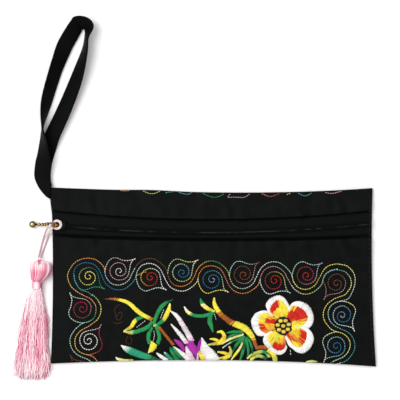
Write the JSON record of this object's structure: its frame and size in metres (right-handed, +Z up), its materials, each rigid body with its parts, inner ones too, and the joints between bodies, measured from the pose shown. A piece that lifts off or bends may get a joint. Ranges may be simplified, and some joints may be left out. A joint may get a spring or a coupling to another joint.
{
  "type": "embroidered zip wristlet pouch",
  "caption": "Flat black cloth pouch with a zip across the front, stitched scroll and flower embroidery, a sewn-in wrist strap, a bead-chain puller and a pink tassel, lying face up.",
  "frame": {"origin": "middle of the flat back of the pouch, on the surface it lies on", "axes": "+X along the zip to the right, +Y towards the top fold, +Z up out of the embroidered front"},
  "size_m": [0.2259, 0.2266, 0.0106],
  "materials": {
    "black_cloth": "matt black cotton, plain weave",
    "zip_tape": "black woven tape",
    "zip_coil": "black nylon coil",
    "slider_enamel": "black enamel",
    "brass": "bright, slightly aged",
    "strap_cloth": "matt black cotton, folded and top-stitched",
    "pale_cord": "pale pink twisted cord",
    "pink_thread": "pink lustrous thread",
    "binding_thread": "wound pink thread"
  },
  "bodies": {
    "root": {"body": "black_cloth", "zip_tape_upper": "zip_tape", "zip_tape_lower": "zip_tape", "zip_coil": "zip_coil", "zip_slider": "slider_enamel", "pull_chain": "brass", "pull_ball": "brass", "wrist_strap": "strap_cloth", "tassel_cord": "pale_cord", "tassel": "pink_thread", "tassel_binding": "binding_thread"}
  },
  "joints": []
}
